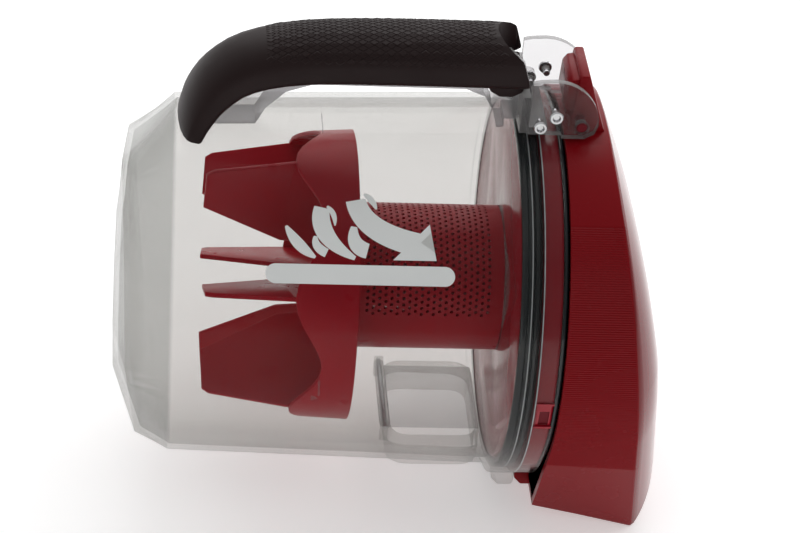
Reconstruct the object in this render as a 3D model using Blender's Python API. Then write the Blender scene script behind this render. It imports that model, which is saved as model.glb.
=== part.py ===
"""Dust container of a bagless vacuum cleaner: clear tub, cyclone separator, filter and hinged lid.

Design frame: X runs along the tub's axis from its closed end (0) to the lid, Z is up through the
handle and 0 on the axis, and an angle around the axis starts at -Y and turns towards +Z.
The empty container_frame lifts that frame, so that the object stands on Z = 0 around X = 0.
"""

import bmesh
import bpy
from math import cos, pi, radians, sin
from mathutils import Matrix, Vector

MM = 0.001
GAP = 0.3 * MM  # clearance between neighbouring pieces
AROUND = 72  # divisions of the large round pieces

# Tub
TUB_MOUTH_X = 174 * MM
FLANGE_START_X = 162 * MM
FLANGE_RADIUS = 85 * MM
BODY_EDGE_X = 24 * MM
BODY_EDGE_RADIUS = 77 * MM
MOUTH_RADIUS = 81 * MM
WALL = 2.4 * MM
GASKET_SEAT_X = 165 * MM
GASKET_SEAT_RADIUS = 82.6 * MM
# Corners of the faceted end, every 45 degrees from -Y: (x, radius) of the outer and the flat ring
FACET_RING = [(6, 70), (4.5, 64), (2.5, 56), (4.5, 64), (6, 70), (10, 70), (10, 70), (10, 70)]
FLAT_RING = [(0, 38), (0, 26), (0, 17), (0, 26), (0, 38), (0, 42), (0, 42), (0, 42)]

# Filter base, screen and separator
BASE_PLATE_X = 165.4 * MM
BASE_RIM_END_X = 182 * MM
BASE_RIM_RADIUS = 84 * MM
SCREEN_RADIUS = 31.6 * MM
SCREEN_START_X = 98 * MM
COLLAR_RADIUS = 63 * MM
COLLAR_END_X = 101 * MM
FIN_COUNT = 6
FIN_PHASE = radians(85)
FIN_TIP_X = 37 * MM

# Lid
LID_BACK_X = 184.6 * MM
LID_RADIUS = 85 * MM
LID_FOOT_Z = -85 * MM
LID_FOOT_HALF = 53 * MM
LID_WALL = 2.6 * MM
LID_CORNER_X = 217 * MM
LID_LEAN = 0.137
LID_DOME = 13 * MM
LID_EDGE_POWER = 6  # how steeply the front rises inside its corner
LID_FOOT_SWELL = 0.12
LID_FLARE = 8 * MM
LID_CROWN = 0.24
OUTLET_RADIUS = 27 * MM
GRILLE_X = 219.8 * MM

# Hinge over the rim, between clear ears, and two catches under it
HINGE_X = 190.6 * MM
HINGE_Z = 90 * MM
PIN_RADIUS = 2.2 * MM
TONGUE_HALF = 12.5 * MM
CATCH_Y = 33 * MM
CATCH_HALF = 3 * MM
CATCH_X = 178 * MM
CATCH_FOOT_Z = -87.5 * MM
EAR_Y = 19.5 * MM
EAR_THICK = 3 * MM

# Handle
CORE_HALF = 7.5 * MM

# Inlet port in the underside
PORT_X = 142 * MM
PORT_LENGTH = 38 * MM
PORT_HALF_WIDTH = 26 * MM
PORT_TOP_Z = -68 * MM
PORT_FOOT_Z = -83.5 * MM

AXIS_HEIGHT = -LID_FOOT_Z + LID_FLARE
FRAME = None


# ---------------------------------------------------------------- helpers

def clear_scene():
    for old in list(bpy.data.objects):
        bpy.data.objects.remove(old, do_unlink=True)


def material(name, colour, roughness, metallic=0.0, transmission=0.0):
    made = bpy.data.materials.new(name)
    made.use_nodes = True
    shader = made.node_tree.nodes["Principled BSDF"]
    shader.inputs["Base Color"].default_value = (*colour, 1)
    shader.inputs["Roughness"].default_value = roughness
    shader.inputs["Metallic"].default_value = metallic
    shader.inputs["Transmission Weight"].default_value = transmission
    return made


def finish(bm, name, finish_name, pivot=None, smooth=30):
    """Closes a bmesh into an object, with its origin on the pivot where it has one."""
    bmesh.ops.remove_doubles(bm, verts=bm.verts, dist=1e-6)
    bmesh.ops.recalc_face_normals(bm, faces=bm.faces)
    pivot = Vector(pivot or (0, 0, 0))
    bmesh.ops.translate(bm, verts=bm.verts, vec=-pivot)
    mesh = bpy.data.meshes.new(name)
    bm.to_mesh(mesh)
    bm.free()
    mesh.shade_smooth()
    mesh.set_sharp_from_angle(angle=radians(smooth))
    made = bpy.data.objects.new(name, mesh)
    bpy.context.scene.collection.objects.link(made)
    made.parent = FRAME
    made.location = pivot
    if finish_name:
        mesh.materials.append(MATERIALS[finish_name])
    return made


def spun(points, steps=AROUND, close=True):
    """A bmesh turned about X from (x, radius) points; an open run starts and ends on the axis."""
    bm = bmesh.new()
    run = [bm.verts.new((x, 0, r)) for x, r in points]
    pairs = list(zip(run, run[1:])) + ([(run[-1], run[0])] if close else [])
    edges = [bm.edges.new(pair) for pair in pairs]
    bmesh.ops.spin(bm, geom=run + edges, cent=(0, 0, 0), axis=(1, 0, 0), angle=2 * pi, steps=steps,
                   use_merge=True)
    return bm


def turned(name, finish_name, points, steps=AROUND, close=True):
    return finish(spun(points, steps, close), name, finish_name)


def ring(name, finish_name, x0, x1, r0, r1, steps=AROUND):
    return turned(name, finish_name, [(x0, r0), (x0, r1), (x1, r1), (x1, r0)], steps)


def place(a, b, depth, axis):
    return {"x": (depth, a, b), "y": (a, depth, b), "z": (a, b, depth)}[axis]


def slab(outline, lo, hi, axis="y"):
    """A bmesh of an outline, (x, z) across Y, (y, z) across X or (x, y) across Z, from lo to hi."""
    bm = bmesh.new()
    face = bm.faces.new([bm.verts.new(place(a, b, lo, axis)) for a, b in outline])
    grown = bmesh.ops.extrude_face_region(bm, geom=[face])
    moved = [v for v in grown["geom"] if isinstance(v, bmesh.types.BMVert)]
    bmesh.ops.translate(bm, verts=moved, vec=Vector(place(0, 0, hi - lo, axis)))
    return bm


def plate(name, finish_name, outline, lo, hi, axis="y", pivot=None):
    return finish(slab(outline, lo, hi, axis), name, finish_name, pivot)


def rectangle(x0, x1, z0, z1):
    return [(x0, z0), (x1, z0), (x1, z1), (x0, z1)]


def rounded(x0, x1, z0, z1, radius, steps=4):
    """A rectangle with round corners."""
    centres = [(x1 - radius, z1 - radius, 0), (x0 + radius, z1 - radius, pi / 2),
               (x0 + radius, z0 + radius, pi), (x1 - radius, z0 + radius, 3 * pi / 2)]
    return [(cx + radius * cos(start + pi / 2 * k / steps), cz + radius * sin(start + pi / 2 * k / steps))
            for cx, cz, start in centres for k in range(steps + 1)]


def disc_outline(cx, cz, radius, steps=20):
    return [(cx + radius * cos(2 * pi * k / steps), cz + radius * sin(2 * pi * k / steps))
            for k in range(steps)]


def boolean(target, tool, operation="DIFFERENCE"):
    """Applies a hidden tool to the target as a live Boolean."""
    tool.hide_render = True
    tool.display_type = "WIRE"
    step = target.modifiers.new(operation.lower(), "BOOLEAN")
    step.operation = operation
    step.solver = "EXACT"
    step.object = tool
    return target


def cut(target, bm, name):
    return boolean(target, finish(bm, name, None), "DIFFERENCE")


def join(target, bm, name):
    return boolean(target, finish(bm, name, None), "UNION")


def around(x, radius, angle):
    """The point at an angle around the axis, from -Y towards +Z."""
    return Vector((x, -radius * cos(angle), radius * sin(angle)))


def loft(rings, closed=False):
    """A bmesh of bands between rings of points; the end rings are capped, or joined if it is closed."""
    bm = bmesh.new()
    loops = [[bm.verts.new(p) for p in points] for points in rings]
    pairs = list(zip(loops, loops[1:])) + ([(loops[-1], loops[0])] if closed else [])
    for near, far in pairs:
        for k in range(len(near)):
            bm.faces.new((near[k - 1], near[k], far[k], far[k - 1]))
    if not closed:
        bm.faces.new(loops[0])
        bm.faces.new(loops[-1])
    return bm


def smooth_path(points, per_span=3):
    """Catmull-Rom points through a list of equal-length tuples."""
    rows = [Vector(p) for p in points]
    ends = [2 * rows[0] - rows[1]] + rows + [2 * rows[-1] - rows[-2]]
    path = []
    for a, b, c, d in zip(ends, ends[1:], ends[2:], ends[3:]):
        for k in range(per_span):
            t = k / per_span
            path.append(0.5 * (2 * b + (c - a) * t + (2 * a - 5 * b + 4 * c - d) * t ** 2
                               + (3 * b - a - 3 * c + d) * t ** 3))
    return path + [rows[-1]]


# ---------------------------------------------------------------- tub

def corner_ring(corners, inset):
    """A ring of AROUND points along the straight sides between eight corners."""
    per_side = AROUND // 8
    points = []
    for k in range(8):
        (x0, r0), (x1, r1) = corners[k], corners[(k + 1) % 8]
        here = around(x0 * MM + inset, r0 * MM - inset, radians(45 * k))
        there = around(x1 * MM + inset, r1 * MM - inset, radians(45 * (k + 1)))
        points += [here.lerp(there, step / per_side) for step in range(per_side)]
    return points


def circle_ring(x, radius):
    return [around(x, radius, 2 * pi * k / AROUND) for k in range(AROUND)]


def port_outline(grow):
    return rounded(PORT_X - PORT_LENGTH / 2 - grow, PORT_X + PORT_LENGTH / 2 + grow,
                   -PORT_HALF_WIDTH - grow, PORT_HALF_WIDTH + grow, 7 * MM + grow)


def tub_shell():
    inner_mouth = MOUTH_RADIUS - WALL
    rings = [corner_ring(FLAT_RING, 0), corner_ring(FACET_RING, 0),
             circle_ring(BODY_EDGE_X, BODY_EDGE_RADIUS), circle_ring(FLANGE_START_X, MOUTH_RADIUS),
             circle_ring(FLANGE_START_X + 1.5 * MM, FLANGE_RADIUS),
             circle_ring(TUB_MOUTH_X, FLANGE_RADIUS), circle_ring(TUB_MOUTH_X, GASKET_SEAT_RADIUS),
             circle_ring(GASKET_SEAT_X, GASKET_SEAT_RADIUS), circle_ring(GASKET_SEAT_X, inner_mouth),
             circle_ring(BODY_EDGE_X + 0.4 * WALL, BODY_EDGE_RADIUS - WALL),
             corner_ring(FACET_RING, WALL), corner_ring(FLAT_RING, WALL)]
    tub = finish(loft(rings), "tub_shell", "clear")
    cut(tub, slab(port_outline(GAP + 1.8 * MM), -95 * MM, -60 * MM, "z"), "cutter_port")
    for side in (-1, 1):
        join(tub, catch_block(side, 168 * MM, CATCH_X), f"tub_catch_{side}")
    return tub


def catch_block(side, x0, x1):
    """One half of a catch: the tub's and the lid's blocks meet face to face under the rim."""
    root = max(x0, TUB_MOUTH_X)
    outline = [(x0, -76.9 * MM), (root - GAP, -76.9 * MM)] if x0 < root else []
    outline += [(root, -79.4 * MM), (x1, -79.4 * MM), (x1, CATCH_FOOT_Z + 1.5 * MM),
                (x1 - 1 * MM, CATCH_FOOT_Z), (x0 + 3 * MM, CATCH_FOOT_Z), (x0, -84 * MM)]
    middle = side * CATCH_Y
    return slab(outline, middle - CATCH_HALF, middle + CATCH_HALF)


def rim_gasket():
    seat = GASKET_SEAT_X + GAP
    lip = [(seat, 79 * MM), (seat, 82.3 * MM), (seat + 3 * MM, 82.3 * MM), (seat + 3.5 * MM, 81.4 * MM),
           (seat + 4.5 * MM, 81.4 * MM), (seat + 5 * MM, 82.3 * MM), (seat + 8.3 * MM, 82.3 * MM),
           (seat + 8.3 * MM, 79 * MM)]
    return turned("rim_gasket", "rubber", lip)


# ---------------------------------------------------------------- inlet

def inlet_frame():
    """A collar through the underside of the tub, flanged inside."""
    frame = plate("inlet_frame", "clear", port_outline(1.8 * MM), PORT_FOOT_Z, PORT_TOP_Z, "z")
    cut(frame, slab(port_outline(0), -90 * MM, -60 * MM, "z"), "cutter_inlet")
    for side in (-1, 1):
        ear = rectangle(PORT_X - PORT_LENGTH / 2 - 5 * MM, PORT_X - PORT_LENGTH / 2 - 1 * MM,
                        PORT_TOP_Z - 5 * MM, PORT_TOP_Z + 5 * MM)
        near, far = sorted((side * 22 * MM, side * 24.5 * MM))
        join(frame, slab(ear, near, far), f"flap_ear_{side}")
    cut(frame, slab(disc_outline(*flap_axis(), 1.2 * MM, 12), -30 * MM, 30 * MM), "cutter_flap_bore")
    return frame


def flap_axis():
    return PORT_X - PORT_LENGTH / 2 - 3 * MM, PORT_TOP_Z + 2.8 * MM


def inlet_flap():
    """A flap over the inlet, which the air pushes up into the tub."""
    x, z = flap_axis()
    arm = slab(rectangle(x + 1 * MM, PORT_X + PORT_LENGTH / 2 + 1 * MM, PORT_TOP_Z + GAP,
                         PORT_TOP_Z + 1.8 * MM), -21.5 * MM, 21.5 * MM)
    flap = finish(arm, "inlet_flap", "flap", (x, 0, z))
    barrel = finish(slab(disc_outline(x, z, 2.4 * MM, 14), -21.5 * MM, 21.5 * MM), "flap_barrel", None)
    boolean(flap, barrel, "UNION")
    cut(flap, slab(disc_outline(x, z, 1.2 * MM, 12), -30 * MM, 30 * MM), "cutter_flap_eye")
    return flap


def flap_pin():
    x, z = flap_axis()
    return plate("flap_pin", "steel", disc_outline(x, z, 0.9 * MM, 12), -25 * MM, 25 * MM)


# ---------------------------------------------------------------- filter and separator

def filter_base():
    """A dish in the mouth of the tub, which carries the screen inside and the filter outside."""
    wall = 75.6 * MM
    points = [(BASE_PLATE_X, SCREEN_RADIUS - 4 * MM), (BASE_PLATE_X, 78.4 * MM),
              (TUB_MOUTH_X + GAP, 78.4 * MM), (TUB_MOUTH_X + GAP, BASE_RIM_RADIUS),
              (BASE_RIM_END_X - 1 * MM, BASE_RIM_RADIUS), (BASE_RIM_END_X, BASE_RIM_RADIUS - 1 * MM),
              (BASE_RIM_END_X, wall), (BASE_PLATE_X + 2.4 * MM, wall),
              (BASE_PLATE_X + 2.4 * MM, SCREEN_RADIUS - 4 * MM)]
    base = turned("filter_base", "red", points)
    for angle in (radians(-9), radians(189)):
        spot = around(0, BASE_RIM_RADIUS, angle)
        notch = slab(rounded(spot.y - 2.2 * MM, spot.y + 2.2 * MM, spot.z - 5 * MM, spot.z + 5 * MM, 1 * MM, 2),
                     176.5 * MM, 180.5 * MM, "x")
        cut(base, notch, f"cutter_tab_{round(spot.y / MM)}")
    return base


def filter_screen():
    """The tube that the air leaves through; its fine holes are left to the finish."""
    wall = 2 * MM
    points = [(SCREEN_START_X, SCREEN_RADIUS - wall), (SCREEN_START_X, SCREEN_RADIUS),
              (BASE_PLATE_X - GAP, SCREEN_RADIUS), (BASE_PLATE_X - GAP, SCREEN_RADIUS - wall)]
    return turned("filter_screen", "red", points, 48)


def screen_end_cap():
    x = SCREEN_START_X - GAP
    points = [(x - 2.5 * MM, 0), (x - 2.5 * MM, SCREEN_RADIUS - 1 * MM), (x - 1.5 * MM, SCREEN_RADIUS),
              (x, SCREEN_RADIUS), (x, 0)]
    return turned("screen_end_cap", "dark_red", points, 48, close=False)


def collar_edge(angle):
    """The wavy front edge of the collar, furthest forward where a fin meets it."""
    return 81 * MM - 6 * MM * cos(FIN_COUNT * (angle - FIN_PHASE))


def separator():
    """The collar with its six fins, one moulding."""
    angles = [2 * pi * k / AROUND for k in range(AROUND)]
    disc_x, hub = 93 * MM, SCREEN_RADIUS + GAP + 0.2 * MM
    rings = [[around(COLLAR_END_X, COLLAR_RADIUS, a) for a in angles],
             [around(collar_edge(a), COLLAR_RADIUS - 1 * MM, a) for a in angles],
             [around(collar_edge(a), COLLAR_RADIUS - 3 * MM, a) for a in angles],
             [around(disc_x - 2 * MM, COLLAR_RADIUS - 3.2 * MM, a) for a in angles],
             [around(disc_x - 2 * MM, 15 * MM, a) for a in angles],
             [around(disc_x, 15 * MM, a) for a in angles],
             [around(disc_x, hub, a) for a in angles],
             [around(COLLAR_END_X + 3 * MM, hub, a) for a in angles],
             [around(COLLAR_END_X + 3 * MM, hub + 2 * MM, a) for a in angles],
             [around(disc_x, hub + 2.4 * MM, a) for a in angles],
             [around(disc_x, COLLAR_RADIUS - 2.2 * MM, a) for a in angles],
             [around(COLLAR_END_X, COLLAR_RADIUS - 2.2 * MM, a) for a in angles]]
    made = finish(loft(rings, closed=True), "separator", "red")
    fin = [(disc_x - 1 * MM, 17 * MM), (70 * MM, 19 * MM), (FIN_TIP_X, 36 * MM), (FIN_TIP_X + 1 * MM, 53 * MM),
           (FIN_TIP_X + 4 * MM, 55 * MM), (74 * MM, 60.5 * MM), (disc_x - 1 * MM, 61 * MM)]
    for k in range(FIN_COUNT):
        blade = slab(fin, -1 * MM, 1 * MM)
        turn = pi / 2 - FIN_PHASE - 2 * pi * k / FIN_COUNT
        bmesh.ops.rotate(blade, verts=blade.verts, cent=(0, 0, 0), matrix=Matrix.Rotation(turn, 3, "X"))
        join(made, blade, f"fin_{k}")
    return made


def pleated_filter():
    """Concertina folds around the outlet of the screen, as a ring with zigzag walls."""
    steps = 72
    rings = []
    for x in (169.5 * MM, 180.5 * MM):
        outer = [around(x, (64 if k % 2 else 58) * MM, 2 * pi * k / steps) for k in range(steps)]
        inner = [around(x, (38 if k % 2 else 33) * MM, 2 * pi * k / steps) for k in range(steps)]
        rings.append((outer, inner))
    order = [rings[0][1], rings[0][0], rings[1][0], rings[1][1]]
    return finish(loft(order, closed=True), "pleated_filter", "paper")


def filter_ring():
    return ring("filter_ring", "dark_red", 168.2 * MM, 181.4 * MM, 65 * MM, 74.8 * MM)


def foam_filter():
    return turned("foam_filter", "foam", [(181.2 * MM, 0), (181.2 * MM, 64.4 * MM), (184 * MM, 64.4 * MM),
                                          (184 * MM, 0)], 48, close=False)


# ---------------------------------------------------------------- lid

def lid_outline(shrink=0.0, flare=0.0):
    """(y, z) around the lid: the tub's circle, with straight flanks down to a flat foot."""
    radius, foot = LID_RADIUS - shrink, LID_FOOT_Z + shrink - flare
    half = LID_FOOT_HALF - 0.8 * shrink + 0.5 * flare
    start, steps = radians(-14), 46
    points = [around(0, radius, start + (pi - 2 * start) * k / steps) for k in range(steps + 1)]
    round_part = [(p.y, p.z) for p in points]
    far, near = round_part[-1], round_part[0]
    flank = [(far[0] + (half - far[0]) * t, far[1] + (foot - far[1]) * t) for t in (0.33, 0.66, 0.93)]
    foot_run = [(half * (0.93 - 0.31 * k), foot) for k in range(7)]
    back = [(near[0] * t - half * (1 - t), near[1] * t + foot * (1 - t)) for t in (0.07, 0.34, 0.67)]
    return round_part + flank + foot_run + back


def lid_front(z):
    """The x of the lid's front corner at a height: it leans back towards the handle."""
    return LID_CORNER_X - LID_LEAN * z - LID_CROWN * max(0.0, z) ** 2


def lid_dome(z, scale):
    """How far the front stands proud of its corner: least near the handle, most at the foot."""
    if z > 0:
        share = max(0.05, 1 - z / LID_RADIUS) ** 0.5
    else:
        share = 1 + LID_FOOT_SWELL * z / (LID_FOOT_Z - LID_FLARE)
    return LID_DOME * share * (1 - scale ** LID_EDGE_POWER)


def lid_rings(shrink, back_x, depth):
    """Rings from the open back over the corner to the middle of the domed front."""
    back, front = lid_outline(shrink), lid_outline(shrink, LID_FLARE)
    rings = [[Vector((back_x, y, z)) for y, z in back],
             [Vector((lid_front(z) - 1.5 * MM - depth, y, z)) for y, z in front]]
    for scale in (0.975, 0.93, 0.88, 0.8, 0.68, 0.5, 0.3):
        rings.append([Vector((lid_front(z * scale) + lid_dome(z * scale, scale) - depth, y * scale, z * scale))
                      for y, z in front])
    return rings


def lid_cover():
    outside = lid_rings(0, LID_BACK_X, 0)
    inside = lid_rings(LID_WALL, LID_BACK_X, LID_WALL)
    lid = finish(loft(outside[::-1] + inside), "lid_cover", "red", (HINGE_X, 0, HINGE_Z))
    cut(lid, spun([(190 * MM, 0), (190 * MM, OUTLET_RADIUS), (250 * MM, OUTLET_RADIUS), (250 * MM, 0)], 40, False),
        "cutter_outlet")
    for side in (-1, 1):
        join(lid, catch_block(side, CATCH_X + GAP, 187.5 * MM), f"lid_catch_{side}")
        near, far = sorted((side * TONGUE_HALF, side * (EAR_Y + 0.6 * MM)))
        cut(lid, slab(rectangle(LID_BACK_X - 4 * MM, HINGE_X + 8 * MM, 78 * MM, 120 * MM), near, far),
            f"cutter_ear_seat_{side}")
    tongue = [(184 * MM, 95 * MM), (184.5 * MM, 105 * MM), (186 * MM, 107.4 * MM), (188.5 * MM, 108.2 * MM),
              (189 * MM, 110.3 * MM), (193.2 * MM, 110.3 * MM), (199 * MM, 92 * MM), (204 * MM, 78 * MM),
              (187 * MM, 78 * MM), (187 * MM, 90 * MM)]
    join(lid, slab(tongue, -TONGUE_HALF, TONGUE_HALF), "lid_tongue")
    cut(lid, slab(disc_outline(HINGE_X, HINGE_Z, PIN_RADIUS + GAP, 16), -60 * MM, 60 * MM), "cutter_lid_bore")
    return lid


def lid_seal():
    return ring("lid_seal", "rubber", BASE_RIM_END_X + GAP, LID_BACK_X - GAP, 77 * MM, 82 * MM)


def lid_inner_plate():
    """The duct plate behind the lid's front, with a collar around the outlet."""
    plate_x = 194 * MM
    collar_x = GRILLE_X - 1 * MM
    points = [(plate_x, OUTLET_RADIUS + 1 * MM), (plate_x, 76 * MM), (plate_x + 2 * MM, 76 * MM),
              (plate_x + 2 * MM, OUTLET_RADIUS + 3 * MM), (collar_x, OUTLET_RADIUS + 3 * MM),
              (collar_x, OUTLET_RADIUS + 1 * MM)]
    return turned("lid_inner_plate", "dark_red", points, 48)


def outlet_grille():
    """Rings and spokes across the outlet."""
    x0, x1 = GRILLE_X, GRILLE_X + 3.5 * MM
    grille = ring("outlet_grille", "dark_red", x0, x1, OUTLET_RADIUS - 2.6 * MM, OUTLET_RADIUS - GAP, 40)
    for radius in (9 * MM, 17 * MM):
        join(grille, spun([(x0, radius - 1 * MM), (x0, radius + 1 * MM), (x1, radius + 1 * MM),
                           (x1, radius - 1 * MM)], 32), f"grille_ring_{round(radius / MM)}")
    for k in range(3):
        bar = slab(rectangle(x0 + 0.5 * MM, x1 - 0.5 * MM, -(OUTLET_RADIUS - 1.5 * MM), OUTLET_RADIUS - 1.5 * MM),
                   -1 * MM, 1 * MM)
        bmesh.ops.rotate(bar, verts=bar.verts, cent=(0, 0, 0), matrix=Matrix.Rotation(pi * k / 3, 3, "X"))
        join(grille, bar, f"grille_bar_{k}")
    return grille


def lid_screws():
    """Four screws through the duct plate, one node each."""
    for k in range(4):
        spot = around(0, 60 * MM, radians(45 + 90 * k))
        bm = spun([(192 * MM, 0), (191.6 * MM, 2 * MM), (192.4 * MM, 3.4 * MM), (193.7 * MM, 3.4 * MM),
                   (193.7 * MM, 0)], 16, False)
        bmesh.ops.translate(bm, verts=bm.verts, vec=(0, spot.y, spot.z))
        finish(bm, f"lid_screw_{k + 1}", "steel")


# ---------------------------------------------------------------- handle

GRIP_STATIONS = [  # (top x, top z, bottom x, bottom z, half width), foot of the grip to its open end
    (25, 80.5, 35, 78.5, 22), (28, 92, 38.5, 84.5, 20), (35.5, 104.5, 45, 92.5, 18),
    (50, 115.5, 56, 100, 17), (75, 122, 77, 104.5, 17), (112, 124.2, 112, 105.5, 17),
    (162.5, 124.5, 168.2, 105.5, 17)]


def grip_section(row):
    """The inverted U of the grip at one station, open below for the clear core."""
    half = row[4] * MM
    top, low = Vector((row[0], 0, row[1])) * MM, Vector((row[2], 0, row[3])) * MM
    up = top - low
    slot = CORE_HALF + GAP
    crown = [(-half * cos(pi * k / 10), 0.42 + 0.58 * sin(pi * k / 10)) for k in range(11)]
    section = [(-slot, 0.02), (-half + 1.2 * MM, 0.0), (-half, 0.1), *crown, (half, 0.1),
               (half - 1.2 * MM, 0.0), (slot, 0.02), (slot, 0.5), (slot - 2 * MM, 0.62),
               (-slot + 2 * MM, 0.62), (-slot, 0.5)]
    return [low + up * h + Vector((0, y, 0)) for y, h in section]


def grip_shell():
    rows = smooth_path(GRIP_STATIONS)
    return finish(loft([grip_section(row) for row in rows]), "grip_shell", "grip", smooth=40)


def core_outline():
    """(x, z) of the clear web: under the crown of the grip, and down to the tub at both ends."""
    rows = smooth_path(GRIP_STATIONS)
    upper = []
    for tx, tz, bx, bz, _ in rows:
        share = 0.4
        upper.append(((bx + (tx - bx) * share) * MM, (bz + (tz - bz) * share) * MM))
    upper[0] = (32.5 * MM, 79.5 * MM)
    right = [(168.5 * MM, 105 * MM), (170 * MM, 100 * MM), (170 * MM, 86.2 * MM), (160 * MM, 86.2 * MM),
             (160 * MM, 82.2 * MM), (157 * MM, 81.9 * MM)]
    under = [(155 * MM, 90 * MM), (151 * MM, 96.5 * MM), (143 * MM, 99.8 * MM), (80 * MM, 99.8 * MM),
             (69 * MM, 96 * MM), (61 * MM, 88 * MM), (57 * MM, 80.4 * MM)]
    return upper[:-1] + [(162 * MM, 111.5 * MM)] + right + under


def ear_outline():
    """(x, z) of the clear ears: flat below, round over the hinge pin."""
    arc = [(178 * MM + 19.5 * MM * sin(t), 91 * MM + 20 * MM * cos(t))
           for t in [radians(9 * k) for k in range(11)]]
    return [(168.6 * MM, 86.2 * MM), (168.6 * MM, 109.8 * MM), (172 * MM, 110.6 * MM), *arc,
            (196 * MM, 87 * MM), (192 * MM, 84.6 * MM), (182.6 * MM, 84.6 * MM), (182.6 * MM, 86.2 * MM)]


def handle_core():
    core = plate("handle_core", "clear", core_outline(), -CORE_HALF, CORE_HALF)
    for side in (-1, 1):
        near, far = sorted((side * (EAR_Y - EAR_THICK), side * EAR_Y))
        join(core, slab(ear_outline(), near, far), f"ear_{side}")
    inner = EAR_Y - 1 * MM
    join(core, slab(rectangle(165 * MM, 168.5 * MM, 86.2 * MM, 103 * MM), -inner, inner), "ear_bridge")
    join(core, slab(rectangle(166.5 * MM, 177 * MM, 86.2 * MM, 87.9 * MM), -inner, inner), "ear_floor")
    cut(core, slab(disc_outline(HINGE_X, HINGE_Z, PIN_RADIUS + GAP, 16), -40 * MM, 40 * MM), "cutter_hinge_bore")
    for k, (x, z) in enumerate(SCREW_SPOTS):
        cut(core, slab(disc_outline(x, z, 1.7 * MM, 12), -40 * MM, 40 * MM), f"cutter_screw_{k}")
    return core


SCREW_SPOTS = [(179.5 * MM, 95 * MM), (173.3 * MM, 90 * MM)]


def ear_screws():
    for label, side in (("near", -1), ("far", 1)):
        for k, (x, z) in enumerate(SCREW_SPOTS):
            start = side * (EAR_Y - 4.5 * MM)
            head = side * (EAR_Y + GAP)
            stem = slab(disc_outline(x, z, 1.4 * MM, 12), *sorted((start, head + side * 0.2 * MM)))
            screw = finish(stem, f"ear_screw_{label}_{k + 1}", "steel")
            join(screw, slab(disc_outline(x, z, 2.7 * MM, 16), *sorted((head, head + side * 1.4 * MM))),
                 f"screw_head_{label}_{k}")


def hinge_pin():
    return plate("hinge_pin", "steel", disc_outline(HINGE_X, HINGE_Z, PIN_RADIUS, 20), -EAR_Y - 0.4 * MM,
                 EAR_Y + 0.4 * MM)


# ---------------------------------------------------------------- assembly

def build():
    tub_shell()
    rim_gasket()
    inlet_frame()
    inlet_flap()
    flap_pin()
    filter_base()
    filter_screen()
    screen_end_cap()
    separator()
    pleated_filter()
    filter_ring()
    foam_filter()
    lid_cover()
    lid_seal()
    lid_inner_plate()
    outlet_grille()
    lid_screws()
    handle_core()
    grip_shell()
    ear_screws()
    hinge_pin()


clear_scene()
MATERIALS = {
    "clear": material("clear_plastic", (0.72, 0.73, 0.74), 0.06, transmission=0.9),
    "red": material("red_plastic", (0.28, 0.008, 0.015), 0.3),
    "dark_red": material("dark_red_plastic", (0.16, 0.006, 0.012), 0.4),
    "grip": material("grip_rubber", (0.028, 0.016, 0.015), 0.55),
    "rubber": material("black_rubber", (0.015, 0.018, 0.022), 0.5),
    "flap": material("flap_rubber", (0.3, 0.31, 0.32), 0.4),
    "paper": material("filter_paper", (0.72, 0.7, 0.64), 0.9),
    "foam": material("filter_foam", (0.06, 0.06, 0.065), 0.95),
    "steel": material("bright_steel", (0.62, 0.62, 0.63), 0.28, metallic=1.0),
}
FRAME = bpy.data.objects.new("container_frame", None)
LENGTH = max(point.x for row in lid_rings(0, LID_BACK_X, 0) for point in row)
FRAME.location = (-LENGTH / 2, 0, AXIS_HEIGHT)
bpy.context.scene.collection.objects.link(FRAME)
build()
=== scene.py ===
from math import acos, atan2, cos, hypot, pi, radians, sin

import bmesh
import bpy
from mathutils import Matrix, Vector
from mathutils.bvhtree import BVHTree


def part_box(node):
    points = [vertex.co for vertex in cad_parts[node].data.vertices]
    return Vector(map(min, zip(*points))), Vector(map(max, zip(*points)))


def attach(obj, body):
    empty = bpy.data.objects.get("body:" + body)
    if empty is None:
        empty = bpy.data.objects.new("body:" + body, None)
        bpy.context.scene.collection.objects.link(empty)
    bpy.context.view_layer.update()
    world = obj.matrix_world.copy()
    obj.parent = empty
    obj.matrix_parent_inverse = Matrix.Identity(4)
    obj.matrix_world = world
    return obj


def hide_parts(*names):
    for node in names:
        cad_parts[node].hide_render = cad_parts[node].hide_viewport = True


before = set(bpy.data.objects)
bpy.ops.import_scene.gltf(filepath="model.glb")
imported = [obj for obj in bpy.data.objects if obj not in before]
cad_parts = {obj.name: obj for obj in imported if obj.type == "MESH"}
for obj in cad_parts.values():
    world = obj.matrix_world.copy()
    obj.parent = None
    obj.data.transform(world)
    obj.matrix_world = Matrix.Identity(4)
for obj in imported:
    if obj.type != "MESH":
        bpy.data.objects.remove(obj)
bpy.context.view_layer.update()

mm = 0.001
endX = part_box("tub_shell")[0].x  # the closed end of the tub
axisZ = (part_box("rim_gasket")[0].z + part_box("rim_gasket")[1].z) / 2


# everything is drawn in the container's own measures: x from its closed end, z from the tub's axis
def seated(bm):
    bmesh.ops.translate(bm, verts=bm.verts, vec=(endX, 0, axisZ))
    return bm


def fromCad(node):
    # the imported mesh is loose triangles, so the copy is merged and its flats are joined up again
    bm = bmesh.new()
    bm.from_mesh(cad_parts[node].data)
    bmesh.ops.remove_doubles(bm, verts=bm.verts, dist=0.002 * mm)
    bmesh.ops.dissolve_limit(bm, angle_limit=radians(0.4), verts=bm.verts, edges=bm.edges)
    bmesh.ops.translate(bm, verts=bm.verts, vec=(-endX, 0, -axisZ))
    return bm


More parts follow.
